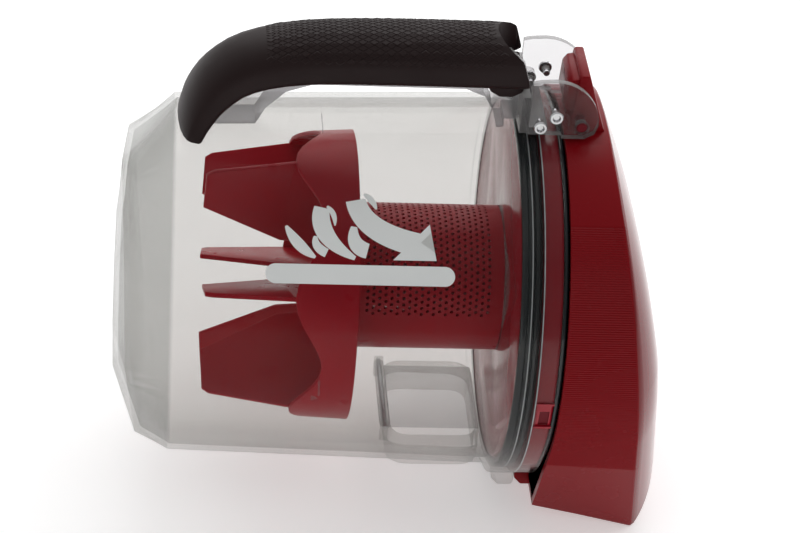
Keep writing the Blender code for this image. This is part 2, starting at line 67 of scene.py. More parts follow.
def softened(bm, width, least=28, segments=2, keep=lambda edge: True):
    edges = [e for e in bm.edges if len(e.link_faces) == 2 and keep(e)
             and e.calc_face_angle(0) > radians(least)]
    bmesh.ops.bevel(bm, geom=edges, offset=width, offset_type="OFFSET", affect="EDGES",
                    segments=segments, profile=0.5, material=-1, clamp_overlap=True)
    return bm


def addPiece(name, bm, body, finish, standsFor=(), smooth=35):
    seated(bm)
    mesh = bpy.data.meshes.new(name)
    bm.to_mesh(mesh)
    bm.free()
    mesh.materials.append(finish)
    mesh.shade_smooth()
    mesh.set_sharp_from_angle(angle=radians(smooth))
    piece = bpy.data.objects.new(name, mesh)
    bpy.context.scene.collection.objects.link(piece)
    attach(piece, body)
    if standsFor:
        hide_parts(*standsFor)
    return piece


def turnedRing(points, steps=96, closed=True):
    # (x, radius) points turned about the tub's axis
    bm = bmesh.new()
    run = [bm.verts.new((x * mm, 0, r * mm)) for x, r in points]
    edges = [bm.edges.new(pair) for pair in zip(run, run[1:])]
    if closed:
        edges.append(bm.edges.new((run[-1], run[0])))
    bmesh.ops.spin(bm, geom=run + edges, cent=(0, 0, 0), axis=(1, 0, 0), angle=2 * pi,
                   steps=steps, use_merge=True)
    return closedUp(bm)


def closedUp(bm):
    # seams and poles joined up, and faces turned outwards
    bmesh.ops.remove_doubles(bm, verts=bm.verts, dist=0.002 * mm)
    bmesh.ops.recalc_face_normals(bm, faces=bm.faces)
    return bm


def boxed(bm, low, high, turn=0):
    # a block between two corners, turned about the tub's axis
    made = bmesh.ops.create_cube(bm, size=1)["verts"]
    low, high = Vector(low) * mm, Vector(high) * mm
    bmesh.ops.scale(bm, verts=made, vec=high - low)
    bmesh.ops.translate(bm, verts=made, vec=(high + low) / 2)
    bmesh.ops.rotate(bm, verts=made, cent=(0, 0, 0), matrix=Matrix.Rotation(turn, 3, "X"))
    return made


def carved(piece, cutters):
    # cutters go in as live Booleans, which are then applied to the piece's mesh
    tools = []
    for bm in cutters:
        mesh = bpy.data.meshes.new("carvingTool")
        seated(bm).to_mesh(mesh)
        bm.free()
        tool = bpy.data.objects.new("carvingTool", mesh)
        bpy.context.scene.collection.objects.link(tool)
        step = piece.modifiers.new("carve", "BOOLEAN")
        step.operation, step.solver, step.object = "DIFFERENCE", "EXACT", tool
        tools.append(tool)
    shown = piece.evaluated_get(bpy.context.evaluated_depsgraph_get())
    carvedMesh = bpy.data.meshes.new_from_object(shown)
    piece.modifiers.clear()
    piece.data = carvedMesh
    for tool in tools:
        bpy.data.objects.remove(tool)
    carvedMesh.set_sharp_from_angle(angle=radians(35))


def newFinish(name):
    made = bpy.data.materials.new(name)
    made.use_nodes = True
    tree = made.node_tree
    shader = tree.nodes["Principled BSDF"]
    coords = tree.nodes.new("ShaderNodeTexCoord")
    return made, tree, shader, coords.outputs["Object"]


def noise(tree, coords, scale, detail=3.0, stretch=(1, 1, 1)):
    spread = tree.nodes.new("ShaderNodeMapping")
    spread.inputs["Scale"].default_value = stretch
    tree.links.new(coords, spread.inputs["Vector"])
    node = tree.nodes.new("ShaderNodeTexNoise")
    node.inputs["Scale"].default_value = scale
    node.inputs["Detail"].default_value = detail
    tree.links.new(spread.outputs["Vector"], node.inputs["Vector"])
    return node.outputs["Fac"]


def spreadTo(tree, value, low, high):
    node = tree.nodes.new("ShaderNodeMapRange")
    node.inputs["From Min"].default_value = 0.3
    node.inputs["From Max"].default_value = 0.7
    node.inputs["To Min"].default_value = low
    node.inputs["To Max"].default_value = high
    tree.links.new(value, node.inputs["Value"])
    return node.outputs["Result"]


def twoTone(tree, value, dark, light):
    node = tree.nodes.new("ShaderNodeMix")
    node.data_type = "RGBA"
    node.inputs["A"].default_value = (*dark, 1)
    node.inputs["B"].default_value = (*light, 1)
    tree.links.new(value, node.inputs["Factor"])
    return node.outputs["Result"]


def bumped(tree, height, strength, distance):
    node = tree.nodes.new("ShaderNodeBump")
    node.inputs["Strength"].default_value = strength
    node.inputs["Distance"].default_value = distance
    tree.links.new(height, node.inputs["Height"])
    return node.outputs["Normal"]


def moulded(name, dark, light, rough, grainScale, grainDepth, shine=0.5, stretch=(1, 1, 1), metal=0.0):
    # moulded plastic, rubber, paper or metal: slow colour drift, uneven gloss and a fine surface grain
    made, tree, shader, coords = newFinish(name)
    drift = spreadTo(tree, noise(tree, coords, 14, 4, stretch), 0, 1)
    tree.links.new(twoTone(tree, drift, dark, light), shader.inputs["Base Color"])
    gloss = spreadTo(tree, noise(tree, coords, 60, 5, stretch), *rough)
    tree.links.new(gloss, shader.inputs["Roughness"])
    grain = noise(tree, coords, grainScale, 2, stretch)
    tree.links.new(bumped(tree, grain, grainDepth, 0.1 * mm), shader.inputs["Normal"])
    shader.inputs["Metallic"].default_value = metal
    shader.inputs["Specular IOR Level"].default_value = shine
    return made


def clearPlastic(name, face, rim, haze, waves):
    # see-through plastic: darker where the wall turns edge on, with a mirror sheen and a faint haze
    made, tree, shader, coords = newFinish(name)
    tree.nodes.remove(shader)
    out = tree.nodes["Material Output"]
    turning = tree.nodes.new("ShaderNodeLayerWeight")
    turning.inputs["Blend"].default_value = 0.5
    ramp = tree.nodes.new("ShaderNodeMapRange")
    ramp.inputs["From Min"].default_value = 0.3
    ramp.inputs["From Max"].default_value = 1.0
    tree.links.new(turning.outputs["Facing"], ramp.inputs["Value"])
    through = tree.nodes.new("ShaderNodeBsdfTransparent")
    tree.links.new(twoTone(tree, ramp.outputs["Result"], face, rim), through.inputs["Color"])
    cloud = tree.nodes.new("ShaderNodeBsdfDiffuse")
    cloud.inputs["Color"].default_value = (0.62, 0.62, 0.6, 1)
    body = tree.nodes.new("ShaderNodeMixShader")
    tree.links.new(spreadTo(tree, noise(tree, coords, 22, 4), *haze), body.inputs["Fac"])
    tree.links.new(through.outputs["BSDF"], body.inputs[1])
    tree.links.new(cloud.outputs["BSDF"], body.inputs[2])
    sheen = tree.nodes.new("ShaderNodeBsdfGlossy")
    tree.links.new(spreadTo(tree, noise(tree, coords, 90, 4), 0.03, 0.09), sheen.inputs["Roughness"])
    ripple = bumped(tree, noise(tree, coords, 18, 1), waves, 1 * mm)
    tree.links.new(ripple, sheen.inputs["Normal"])
    steep = tree.nodes.new("ShaderNodeMath")  # a mirror share that is alike on both faces of a wall
    steep.operation = "POWER"
    steep.inputs[1].default_value = 4
    tree.links.new(turning.outputs["Facing"], steep.inputs[0])
    mirror = tree.nodes.new("ShaderNodeMapRange")
    mirror.inputs["To Min"].default_value = 0.006
    mirror.inputs["To Max"].default_value = 0.6
    tree.links.new(steep.outputs["Value"], mirror.inputs["Value"])
    whole = tree.nodes.new("ShaderNodeMixShader")
    tree.links.new(mirror.outputs["Result"], whole.inputs["Fac"])
    tree.links.new(body.outputs["Shader"], whole.inputs[1])
    tree.links.new(sheen.outputs["BSDF"], whole.inputs[2])
    tree.links.new(whole.outputs["Shader"], out.inputs["Surface"])
    return made


def pleatedPaper():
    made, tree, shader, coords = newFinish("pleatedPaper")
    fibres = noise(tree, coords, 420, 5, (1, 3, 3))
    tree.links.new(twoTone(tree, spreadTo(tree, fibres, 0, 1), (0.62, 0.59, 0.51), (0.8, 0.78, 0.71)),
                   shader.inputs["Base Color"])
    tree.links.new(bumped(tree, fibres, 0.5, 0.2 * mm), shader.inputs["Normal"])
    shader.inputs["Roughness"].default_value = 0.9
    return made


def openFoam():
    made, tree, shader, coords = newFinish("openFoam")
    cells = tree.nodes.new("ShaderNodeTexVoronoi")
    cells.inputs["Scale"].default_value = 900
    tree.links.new(coords, cells.inputs["Vector"])
    tree.links.new(twoTone(tree, spreadTo(tree, cells.outputs["Distance"], 0, 1), (0.02, 0.02, 0.022),
                           (0.12, 0.12, 0.125)), shader.inputs["Base Color"])
    tree.links.new(bumped(tree, cells.outputs["Distance"], 0.9, 0.4 * mm), shader.inputs["Normal"])
    shader.inputs["Roughness"].default_value = 0.95
    return made


finishes = {
    "clearTub": clearPlastic("clearTub", (0.87, 0.866, 0.86), (0.8, 0.796, 0.786), (0.0, 0.012), 0.05),
    "clearEnd": clearPlastic("clearEnd", (0.79, 0.79, 0.782), (0.72, 0.72, 0.71), (0.0, 0.02), 0.08),
    "clearHandle": clearPlastic("clearHandle", (0.87, 0.865, 0.87), (0.6, 0.59, 0.6), (0.02, 0.06), 0.08),
    "clearEdge": clearPlastic("clearEdge", (0.45, 0.44, 0.45), (0.4, 0.39, 0.4), (0.25, 0.4), 0.1),
    # grey gloss for the rim rings: a painted highlight standing for the glints on the clear rim's edges
    "rimGlint": moulded("rimGlint", (0.34, 0.36, 0.37), (0.42, 0.44, 0.45), (0.15, 0.25), 900, 0.02),
    "redMoulding": moulded("redMoulding", (0.42, 0.004, 0.015), (0.47, 0.006, 0.02),
                           (0.26, 0.36), 1400, 0.03, 0.15),
    "baseGloss": moulded("baseGloss", (0.3, 0.004, 0.014), (0.34, 0.006, 0.018), (0.1, 0.16), 900, 0.01, 0.4),
    "darkRedMoulding": moulded("darkRedMoulding", (0.12, 0.003, 0.008), (0.15, 0.005, 0.012),
                               (0.38, 0.5), 900, 0.03, 0.15),
    "lidGloss": moulded("lidGloss", (0.205, 0.003, 0.006), (0.225, 0.004, 0.008),
                        (0.22, 0.3), 700, 0.05, 0.1),
    "lidFront": moulded("lidFront", (0.17, 0.003, 0.006), (0.19, 0.005, 0.009),
                        (0.08, 0.14), 500, 0.01, 0.32),
    "clearFlap": clearPlastic("clearFlap", (0.86, 0.86, 0.86), (0.7, 0.7, 0.7), (0.02, 0.06), 0.05),
    "softGrip": moulded("softGrip", (0.015, 0.008, 0.008), (0.022, 0.012, 0.012),
                        (0.45, 0.55), 1600, 0.3, 0.14),
    "glossRubber": moulded("glossRubber", (0.005, 0.010, 0.012), (0.010, 0.016, 0.02),
                           (0.08, 0.16), 900, 0.01),
    "brightSteel": moulded("brightSteel", (0.5, 0.5, 0.51), (0.62, 0.62, 0.63), (0.16, 0.3), 1500, 0.1,
                           stretch=(1, 0.1, 1), metal=1.0),
    "whiteInk": moulded("whiteInk", (0.82, 0.84, 0.83), (0.88, 0.9, 0.89), (0.35, 0.5), 1800, 0.1, 0.2),
    "pleatedPaper": pleatedPaper(),
    "openFoam": openFoam(),
}
print("finishes made:", len(finishes))

tubSizes = {
    "edgeX": 24, "edgeRadius": 77, "flangeX": 162, "mouthRadius": 81,  # the slight taper of the wall
    "edgeSoftness": 0.9, "skirtX": (174.2, 182.3), "skirtRadius": (84.25, 85.0),
    "tabTurns": (radians(7), radians(173)), "windowHalf": 7.5,
}


def tubRadius(x):
    share = (x - tubSizes["edgeX"]) / (tubSizes["flangeX"] - tubSizes["edgeX"])
    return tubSizes["edgeRadius"] + (tubSizes["mouthRadius"] - tubSizes["edgeRadius"]) * share


def makeTub():
    bm = softened(fromCad("tub_shell"), tubSizes["edgeSoftness"] * mm, 14)
    for face in bm.faces:
        if face.calc_center_median().x < tubSizes["edgeX"] * mm:
            face.material_index = 1
    tub = addPiece("tubShell", bm, "root", finishes["clearTub"], ("tub_shell",))
    tub.data.materials.append(finishes["clearEnd"])


def makeRimSkirt():
    # the clear rim runs on over the red base, with a window at each of its two tabs
    (x0, x1), (r0, r1) = tubSizes["skirtX"], tubSizes["skirtRadius"]
    bm = turnedRing([(x0, r0), (x0, r1), (x1 - 0.4, r1), (x1, r1 - 0.3), (x1, r0)], 120)
    piece = addPiece("rimSkirt", bm, "root", finishes["clearTub"])
    windows = bmesh.new()
    for turn in tubSizes["tabTurns"]:
        boxed(windows, (x0 + 0.8, -95, -tubSizes["windowHalf"]), (x1 + 2, -75, tubSizes["windowHalf"]), turn)
    carved(piece, [windows])


makeTub()
makeRimSkirt()
print("tub made")

markSizes = {
    "inkHeight": 0.12,
    # ribbon passes: three (x, degrees) points of a bend, the width, and how blunt each end is
    "passes": [((69.5, 49.4), (74, 43.2), (81.5, 40.1), 4.6, 0.05, 0.05),
               ((84.0, 55.2), (81, 46.0), (97.5, 40.0), 7.4, 0.3, 0.05),
               ((86.0, 55.6), (89.5, 53.6), (89.2, 49.6), 2.2, 0.1, 0.05),
               ((81.5, 46.4), (80.5, 43.2), (86.0, 41.4), 3.8, 0.1, 0.4),
               ((97.0, 49.4), (95.5, 43.4), (102.5, 42.2), 6.4, 0.1, 0.4),
               ((101.0, 59.6), (104.5, 58.0), (106.0, 54.8), 2.6, 0.1, 0.05),
               ((97.6, 57.6), (100, 47.6), (123.5, 44.2), 9.6, 0.3, 0.5)],
    "head": [(127.6, 50.4), (130.4, 39.7), (112.8, 39.7), (119.5, 44.5)],
    "pill": (61.5, 138, 35.2, 4.0), "level": (85, -5), "seam": (85, 83),
}


def wrapped(bm):
    # x stays, y is a length around the tub from its near side upwards, z is a height over the wall
    for v in bm.verts:
        x, around, height = v.co
        radius = tubRadius(x / mm) * mm + height
        angle = around / (tubRadius(x / mm) * mm)
        v.co = (x, -radius * cos(angle), radius * sin(angle))
    return bm


def ribbon(bm, path, widths):
    # a flat strip along (x, around) points, grown edge by edge
    def crossing(k):
        before, after = Vector(path[max(0, k - 1)]), Vector(path[min(len(path) - 1, k + 1)])
        run = (after - before).normalized()
        side = Vector((-run.y, run.x)) * widths[k] / 2
        here = Vector(path[k])
        return [(here + side) * mm, (here - side) * mm]
    ends = [bm.verts.new((p.x, p.y, 0)) for p in crossing(0)]
    edge = bm.edges.new(ends)
    for k in range(1, len(path)):
        grown = bmesh.ops.extrude_edge_only(bm, edges=[edge])["geom"]
        edge = next(g for g in grown if isinstance(g, bmesh.types.BMEdge))
        for v, p in zip(sorted(edge.verts, key=lambda v: (v.co.xy - crossing(k)[0]).length), crossing(k)):
            v.co = (p.x, p.y, 0)


def raised(bm, height):
    bmesh.ops.remove_doubles(bm, verts=bm.verts, dist=0.01 * mm)
    bmesh.ops.recalc_face_normals(bm, faces=bm.faces)
    grown = bmesh.ops.extrude_face_region(bm, geom=bm.faces[:])["geom"]
    lifted = [g for g in grown if isinstance(g, bmesh.types.BMVert)]
    bmesh.ops.translate(bm, verts=lifted, vec=(0, 0, height * mm))
    return bm


def aroundAt(x, degrees):
    return radians(degrees) * tubRadius(x)


def swirl(bm, start, bend, end, width, bluntStart, bluntEnd, steps=18):
    # one pass of a winding ribbon: a plain curve whose width swells from one end to the other
    start, bend, end = (Vector((x, aroundAt(x, degrees))) for x, degrees in (start, bend, end))
    path = [start.lerp(bend, k / steps).lerp(bend.lerp(end, k / steps), k / steps) for k in range(steps + 1)]
    swell = [sin(pi * (bluntStart + (1 - bluntStart - bluntEnd) * k / steps)) for k in range(steps + 1)]
    ribbon(bm, path, [width * max(0.04, part) ** 0.8 for part in swell])


def makeAirflowMark():
    # a ribbon that winds round in growing turns, and ends in an arrow towards the lid
    bm = bmesh.new()
    for bend in markSizes["passes"]:
        swirl(bm, *bend)
    head = [Vector((x, aroundAt(x, degrees))) * mm for x, degrees in markSizes["head"]]
    bm.faces.new([bm.verts.new((p.x, p.y, 0)) for p in head])
    return bm


def makePill():
    # a plain bar with round ends where a caption would be
    x0, x1, degrees, half = markSizes["pill"]
    steps = 8
    bend = [half * sin(pi / 2 * k / steps) for k in range(steps + 1)]
    rise = [half * (1 - cos(pi / 2 * k / steps)) for k in range(steps + 1)]
    xs = [x0 + r for r in rise]
    xs += [x0 + half + (x1 - x0 - 2 * half) * k / 10 for k in range(1, 10)]
    xs += [x1 - r for r in rise[::-1]]
    widths = [max(0.4, 2 * b) for b in bend] + [2 * half] * 9 + [max(0.4, 2 * b) for b in bend[::-1]]
    bm = bmesh.new()
    ribbon(bm, [(x, aroundAt(x, degrees)) for x in xs], widths)
    return bm


def makeMarks():
    height = markSizes["inkHeight"]
    for name, bm in (("airflowMark", makeAirflowMark()), ("captionBar", makePill())):
        raised(bm, height)
        bmesh.ops.translate(bm, verts=bm.verts, vec=(0, 0, 0.05 * mm))
        addPiece(name, wrapped(bm), "root", finishes["whiteInk"])
    x, degrees = markSizes["level"]
    seamX, seamFrom = markSizes["seam"]
    bm = bmesh.new()  # fill mark: a short moulded line with a pointer under it, and its seam on top
    ribbon(bm, [(x, aroundAt(x, degrees + 7 - 2 * k)) for k in range(4)], [0.8] * 4)
    ribbon(bm, [(x - 3 + 2.9 * k / 3, aroundAt(x, degrees)) for k in range(4)], [3.4, 2.3, 1.2, 0.3])
    ribbon(bm, [(seamX, aroundAt(x, seamFrom + 2 * k)) for k in range(6)], [0.5] * 6)
    addPiece("fillMark", wrapped(raised(bm, 0.3)), "root", finishes["clearHandle"])


makeMarks()
print("marks made")

screenSizes = {
    "radius": 31.6, "wall": 1.4, "startX": 98, "endX": 165.1, "holeRadius": 0.78,
    "columns": 68, "rows": 26, "holesX": (106, 161), "holesFrom": 2, "plainBelow": -62,
}


def makeScreen():
    # a slanted grid of cells is wrapped into a tube, which staggers its holes
    s = screenSizes
    pitch, row = 2 * pi * s["radius"] / s["columns"], (s["endX"] - s["startX"]) / s["rows"]
    bm = bmesh.new()
    bmesh.ops.create_grid(bm, x_segments=s["rows"], y_segments=s["columns"], size=0.5)
    for v in bm.verts:
        along, around = (v.co.x + 0.5) * s["rows"], (v.co.y + 0.5) * s["columns"]
        v.co = (along * row * mm, (around + along / 2) * pitch * mm, 0)

    def holed(face):
        centre = face.calc_center_median() / mm
        x = centre.x + s["startX"]
        degrees = (centre.y / s["radius"] * 180 / pi + 180) % 360 - 180
        above = s["holesFrom"] < degrees < 180 - s["holesFrom"]
        below = -180 - s["plainBelow"] < degrees < s["plainBelow"]
        return s["holesX"][0] < x < s["holesX"][1] and (above or below)

    cells = [f for f in bm.faces if holed(f)]
    bmesh.ops.inset_individual(bm, faces=cells, thickness=(pitch / 2 - s["holeRadius"]) * 0.7 * mm)
    rims = list({e for f in cells for e in f.edges})
    bmesh.ops.subdivide_edges(bm, edges=rims, cuts=1)
    for face in cells:
        centre = face.calc_center_median()
        for v in face.verts:
            v.co = centre + (v.co - centre).normalized() * s["holeRadius"] * mm
    bmesh.ops.delete(bm, geom=cells, context="FACES")
    for v in bm.verts:
        angle = v.co.y / (s["radius"] * mm)
        v.co = (v.co.x + s["startX"] * mm, -s["radius"] * mm * cos(angle), s["radius"] * mm * sin(angle))
    bmesh.ops.remove_doubles(bm, verts=bm.verts, dist=0.02 * mm)
    bmesh.ops.recalc_face_normals(bm, faces=bm.faces)
    bmesh.ops.solidify(bm, geom=bm.faces[:], thickness=s["wall"] * mm)
    bmesh.ops.recalc_face_normals(bm, faces=bm.faces)
    addPiece("filterScreen", bm, "root", finishes["redMoulding"], ("filter_screen",), 40)


tabSizes = {
    "frameLow": (174.6, -84.6), "frameHigh": (182, -83.2), "frameEnds": (-7.1, 6.1), "frameWidth": 1,
    "darkLow": (176.4, -83.4, -5.2), "darkHigh": (180.6, -82.2, 5.2),
}


def makeBase():
    t = tabSizes
    bm = softened(fromCad("filter_base"), 0.35 * mm, 40)
    for turn in tubSizes["tabTurns"]:  # a raised frame round the dark window of each tab
        for end in t["frameEnds"]:
            boxed(bm, (*t["frameLow"], end), (*t["frameHigh"], end + t["frameWidth"]), turn)
    addPiece("filterBase", bm, "root", finishes["baseGloss"], ("filter_base",))
    dark = bmesh.new()
    for turn in tubSizes["tabTurns"]:
        boxed(dark, t["darkLow"], t["darkHigh"], turn)
    addPiece("tabWindows", softened(dark, 0.2 * mm, 40, 1), "root",
             finishes["darkRedMoulding"])


gasketSizes = {
    "seatX": 165.3, "width": 8.3, "innerRadius": 79.1, "shoulderRadius": 81.2,
    "lobes": 3, "lobeRadius": 81.55, "lobeHeight": 0.65, "lobeSteps": 6, "lobeInset": 0.3,
    "edges": ((169.2, 82.2), (173.8, 84.5)), "glintRingWidth": 0.45,  # grey rings laid on the rim's edges, a painted highlight for the light they catch: x, radius
}


def makeGasket():
    g = gasketSizes
    seat, far, steps = g["seatX"], g["seatX"] + g["width"], g["lobes"] * g["lobeSteps"]
    span = g["width"] - 2 * g["lobeInset"]
    lobes = []
    for k in range(steps + 1):  # soft lobes pressed against the clear rim
        swell = g["lobeHeight"] * abs(sin(g["lobes"] * pi * k / steps))
        lobes.append((seat + g["lobeInset"] + span * k / steps, g["lobeRadius"] + swell))
    shoulder, inner = g["shoulderRadius"], g["innerRadius"]
    profile = [(seat, inner), (seat, shoulder)] + lobes + [(far, shoulder), (far, inner)]
    addPiece("rimGasket", turnedRing(profile, 120), "root", finishes["glossRubber"],
             ("rim_gasket",), 60)
    # each ring is a plain grey band that stands for the glint along a clear edge: a painted highlight
    for number, (x, radius) in enumerate(g["edges"]):
        x1, r1 = x + g["glintRingWidth"], radius + g["glintRingWidth"]
        ring = [(x, radius), (x, r1), (x1, r1), (x1, radius)]
        addPiece(f"rimGlintRing_{number + 1}", turnedRing(ring, 120), "root", finishes["rimGlint"])


def makeSeparator():
    bm = softened(fromCad("separator"), 0.4 * mm, 30)
    addPiece("separator_fins", bm, "separator", finishes["redMoulding"], ("separator",))


makeBase()
makeGasket()
makeScreen()
makeSeparator()
print("filter base, gasket, screen and separator made")

lidSizes = {
    "backX": 184.6, "radius": 85, "footZ": -85, "footHalf": 53, "flare": 8, "wall": 2.6,
    "cornerX": 217, "lean": 0.137, "crown": 0.00024, "dome": 13, "edgePower": 6, "footSwell": 0.12,
    "points": 1080, "ribsFrom": -33, "ribsTo": 50, "ribHeight": 0.2, "outletRadius": 27,
    "tongueHalf": 12.5, "earSeat": ((180.6, 78), (198.6, 120)), "earSeatY": 20.1,
}


def lidReach(angle, shrink, flare):
    # how far the lid's edge is from the axis in a direction: round, then straight flanks, then a flat foot
    s = lidSizes
    radius, foot = s["radius"] - shrink, s["footZ"] + shrink - flare
    half = s["footHalf"] - 0.8 * shrink + 0.5 * flare
    flankAngle = atan2(foot, half) + acos(radius / hypot(foot, half))  # where the flank leaves the circle
    across, up = cos(angle), sin(angle)
    if up >= sin(flankAngle):
        return radius
    ay, az = radius * cos(flankAngle), radius * sin(flankAngle)
    dy, dz = half - ay, foot - az
    flank = (ay * dz - az * dy) / (abs(across) * dz - up * dy)
    return min(flank, foot / up)


def lidFront(z):
    s = lidSizes
    return s["cornerX"] - s["lean"] * z - s["crown"] * max(0, z) ** 2


def lidDome(z, scale):
    # the front rises steeply inside its corner, least near the handle and most at the foot
    s = lidSizes
    if z > 0:
        share = max(0.05, 1 - z / s["radius"]) ** 0.5
    else:
        share = 1 + s["footSwell"] * z / (s["footZ"] - s["flare"])
    return s["dome"] * share * (1 - scale ** s["edgePower"])


def lidLayer(layer, shrink, depth):
    # one ring of the skin: 0 is the open back, the next two the corner, and the rest the domed front
    s = lidSizes
    scales = [1, 1, 1, 0.988, 0.97, 0.95, 0.925, 0.89, 0.85, 0.8, 0.74, 0.66, 0.5]
    ring = []
    for k in range(s["points"]):
        angle = 2 * pi * k / s["points"]
        degrees = (angle * 180 / pi + 180) % 360 - 180
        near = degrees if -90 < degrees < 90 else (180 - degrees if degrees > 0 else -180 - degrees)
        ribbed = s["ribsFrom"] < near < s["ribsTo"] and layer < 3 and shrink == 0
        reach = lidReach(angle, shrink, s["flare"] if layer else 0)
        if ribbed:
            reach -= s["ribHeight"] * (k % 2)
        scale = scales[layer] if layer < len(scales) else s["outletRadius"] / reach
        y, z = -reach * scale * cos(angle), reach * scale * sin(angle)
        if layer == 0:
            x = s["backX"]
        else:
            x = lidFront(z) + lidDome(z, scale) - depth - {1: 1.1, 2: 0.35}.get(layer, 0)
            if layer == 2:
                y, z = y * 0.997, z * 0.997
        ring.append(Vector((x, y, z)) * mm)
    return ring


def lidSkin(shrink, depth, layers=14):
    # a circle is grown ring by ring, and each ring is moved to its place
    bm = bmesh.new()
    bmesh.ops.create_circle(bm, segments=lidSizes["points"], radius=1)
    ring = sorted(bm.verts, key=lambda v: v.index)
    for v, place in zip(ring, lidLayer(0, shrink, depth)):
        v.co = place
    edges = bm.edges[:]
    for layer in range(1, layers):
        grown = bmesh.ops.extrude_edge_only(bm, edges=edges)["geom"]
        edges = [g for g in grown if isinstance(g, bmesh.types.BMEdge)]
        pairs = {}
        fresh = {g for g in grown if isinstance(g, bmesh.types.BMVert)}
        for v in ring:
            pairs[v] = next(e.other_vert(v) for e in v.link_edges if e.other_vert(v) in fresh)
        ring = [pairs[v] for v in ring]
        for v, place in zip(ring, lidLayer(layer, shrink, depth)):
            v.co = place
    return bm


def makeLid():
    s = lidSizes
    bm = lidSkin(0, 0)
    inner = lidSkin(s["wall"], s["wall"])
    mesh = bpy.data.meshes.new("lidInner")
    inner.to_mesh(mesh)
    inner.free()
    bm.from_mesh(mesh)
    bpy.data.meshes.remove(mesh)
    loops = [e for e in bm.edges if e.is_boundary]
    xs = [(min(v.co.x for v in e.verts), e) for e in loops]
    back = [e for x, e in xs if x < (s["backX"] + 0.1) * mm]
    front = [e for x, e in xs if x >= (s["backX"] + 0.1) * mm]
    bmesh.ops.bridge_loops(bm, edges=back)
    bmesh.ops.bridge_loops(bm, edges=front)
    bmesh.ops.recalc_face_normals(bm, faces=bm.faces)
    for face in bm.faces:
        reach = face.calc_center_median() / mm
        if reach.x > lidFront(reach.z) - 0.3:
            face.material_index = 1
    lid = addPiece("lidCover", bm, "lid", finishes["lidGloss"], ("lid_cover",), 24)
    lid.data.materials.append(finishes["lidFront"])
    seats = bmesh.new()
    for side in (-1, 1):
        near, far = sorted((side * s["tongueHalf"], side * s["earSeatY"]))
        (x0, z0), (x1, z1) = s["earSeat"]
        boxed(seats, (x0, near, z0), (x1, far, z1))
    carved(lid, [seats])
    return lid


def slab(bm, outline, low, high):
    # an (x, z) outline drawn out across y
    face = bm.faces.new([bm.verts.new((x * mm, low * mm, z * mm)) for x, z in outline])
    grown = bmesh.ops.extrude_face_region(bm, geom=[face])["geom"]
    moved = [g for g in grown if isinstance(g, bmesh.types.BMVert)]
    bmesh.ops.translate(bm, verts=moved, vec=(0, (high - low) * mm, 0))


tongueSizes = {
    "half": 12.5,
    "slab": [(186.6, 84), (188.8, 109.2), (189.6, 110.3), (192.9, 110.3), (199, 92), (204, 78), (190, 78)],
    "pad": [(186.4, 93), (184.0, 94), (184.5, 105), (186.2, 107.6), (189.4, 108.2), (189.4, 93)],
    "catch": [(178.3, -79.4), (187.5, -79.4), (187.5, -86), (186.5, -87.5), (181.3, -87.5), (178.3, -84)],
    "catchY": (30, 36),
}


def makeLidTrim():
    t = tongueSizes
    bm = bmesh.new()
    slab(bm, t["slab"], -t["half"], t["half"])
    slab(bm, t["pad"], -t["half"] + 1.2, t["half"] - 1.2)
    for side in (-1, 1):
        slab(bm, t["catch"], *sorted((side * t["catchY"][0], side * t["catchY"][1])))
    bmesh.ops.recalc_face_normals(bm, faces=bm.faces)
    addPiece("lidTongueAndCatches", softened(bm, 0.7 * mm, 30), "lid", finishes["lidGloss"])


makeLid()
makeLidTrim()
print("lid made")

# whatever else stands keeps its shape, with softened edges and its own finish
gripSink = 0.22
plainPieces = {
    "inletFrame": ("inlet_frame", "root", "clear_tub", "clearTub", 0.4),
    "inletFlap": ("inlet_flap", "inlet_flap", "flap_rubber", "clearFlap", 0.3),
    "screenEndCap": ("screen_end_cap", "root", "dark_red_plastic", "darkRedMoulding", 0.3),
    "filterRing": ("filter_ring", "root", "dark_red_plastic", "darkRedMoulding", 0.5),
    "foamFilter": ("foam_filter", "root", "filter_foam", "openFoam", 0.6),
    "pleatedFilter": ("pleated_filter", "root", "filter_paper", "pleatedPaper", 0),
    "lidSeal": ("lid_seal", "root", "seal_rubber", "glossRubber", 0.4),
    "lidInnerPlate": ("lid_inner_plate", "lid", "dark_red_plastic", "darkRedMoulding", 0.4),
    "outletGrille": ("outlet_grille", "lid", "dark_red_plastic", "darkRedMoulding", 0.3),
    "handleCore": ("handle_core", "root", "clear_handle", "clearHandle", 0.5),
    "gripShell": ("grip_shell", "root", "soft_grip", "softGrip", 0.6),
}
for name, (node, body, slot, finish, width) in plainPieces.items():
    bm = fromCad(node)
    if width:
        softened(bm, width * mm)
    if name == "gripShell":  # sunk by the height of the pads that stand on it
        bmesh.ops.translate(bm, verts=bm.verts, vec=(0, 0, -gripSink * mm))
    if name == "handleCore":  # the cut edges of clear plates catch the light
        for face in bm.faces:
            if abs(face.normal.y) < 0.3:
                face.material_index = 1
    made = addPiece(name, bm, body, finishes[finish], (node,))
    if name == "handleCore":
        made.data.materials.append(finishes["clearEdge"])
print("other pieces made")

gripSizes = {
    "scoop": (171.7, 17),  # the concave cut at the open end, seen from above: x, radius
    "scoopRim": 2.5, "lozenge": (1.75, 1.2, 0.36), "stretch": (1.35, 0.85, 1), "x": (62, 158), "stepX": 4.6,
    "heel": [(150.5, 106.5), (152, 102.4), (156, 100), (161.5, 100), (165.5, 102.4), (167, 106.5)],
    "heelHalf": 14,
    "fan": (26, 154), "stepAngle": 9.5, "spineZ": 108,
}


def makeScoop():
    x, radius = gripSizes["scoop"]
    bm = bmesh.new()
    bmesh.ops.create_cone(bm, cap_ends=True, segments=64, radius1=radius * mm, radius2=radius * mm,
                          depth=60 * mm)
    bmesh.ops.translate(bm, verts=bm.verts, vec=(x * mm, 0, 120 * mm))
    carved(bpy.data.objects["gripShell"], [bm])


